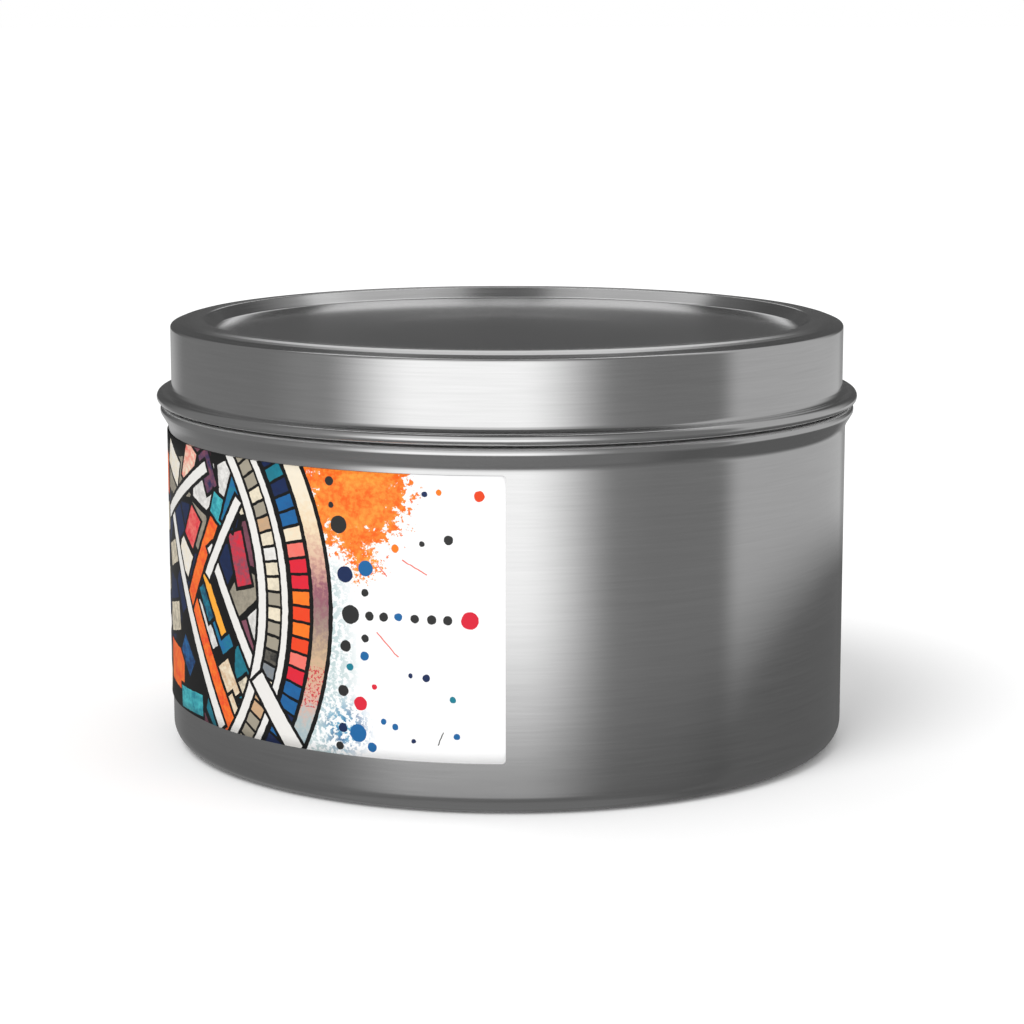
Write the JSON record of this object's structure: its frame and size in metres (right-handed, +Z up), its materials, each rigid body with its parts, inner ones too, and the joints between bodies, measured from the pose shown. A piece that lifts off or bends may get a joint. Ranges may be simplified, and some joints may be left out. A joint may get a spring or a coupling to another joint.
{
  "type": "candle tin",
  "caption": "Round steel tin with a slip-on lid, a stop bead under the lid's rolled edge, a wrapped front label, and a wax fill round a wick.",
  "frame": {"origin": "centre of the base, on the plane of the ring that the tin stands on", "axes": "+Z up the tin's axis, -Y through the middle of the front label"},
  "size_m": [0.08, 0.08, 0.0485],
  "materials": {
    "tin_steel": "brushed round the wall, satin",
    "lid_steel": "brushed round the skirt, satin panel",
    "wax": "cast soy wax, soft sheen",
    "wick": "braided cotton, pre-waxed",
    "sustainer": "plated",
    "sticker": "foam with adhesive on both sides",
    "front_label": "semi-gloss film, printed with an abstract mosaic",
    "base_label": "matt, blank"
  },
  "bodies": {
    "tin": {"tin_body": "tin_steel", "wax_fill": "wax", "wick": "wick", "wick_sustainer": "sustainer", "wick_sticker": "sticker", "front_label": "front_label", "base_label": "base_label"},
    "lid": {"lid": "lid_steel"}
  },
  "joints": [
    {"name": "lid_lift", "type": "slide", "parent": "tin", "child": "lid", "axis": [0, 0, 1], "range_m": [0, 0.03]}
  ]
}
